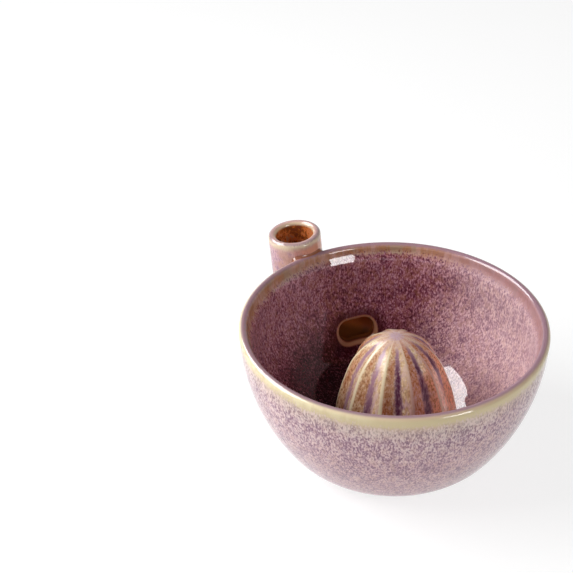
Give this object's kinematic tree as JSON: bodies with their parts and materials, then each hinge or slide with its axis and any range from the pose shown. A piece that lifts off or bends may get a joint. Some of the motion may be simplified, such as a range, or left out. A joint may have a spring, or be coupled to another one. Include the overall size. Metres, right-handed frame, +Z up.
{
  "type": "berry washing bowl",
  "caption": "Deep glazed stoneware bowl on a foot ring, with a fluted cone standing inside and a filling tube outside that turns in to a port low in the wall.",
  "frame": {"origin": "middle of the foot ring, on the surface that the bowl stands on", "axes": "+Z up along the bowl's axis, +Y towards the side of the wall that holds the port, +X to the right of that"},
  "size_m": [0.167, 0.1816, 0.095],
  "materials": {
    "rose_glaze": "gloss",
    "cream_glaze": "gloss",
    "bare_clay": "matte"
  },
  "bodies": {
    "root": {"bowl": "rose_glaze", "foot_ring": "bare_clay", "fluted_cone": "cream_glaze", "inlet_tube": "rose_glaze", "inlet_elbow": "rose_glaze"}
  },
  "joints": []
}
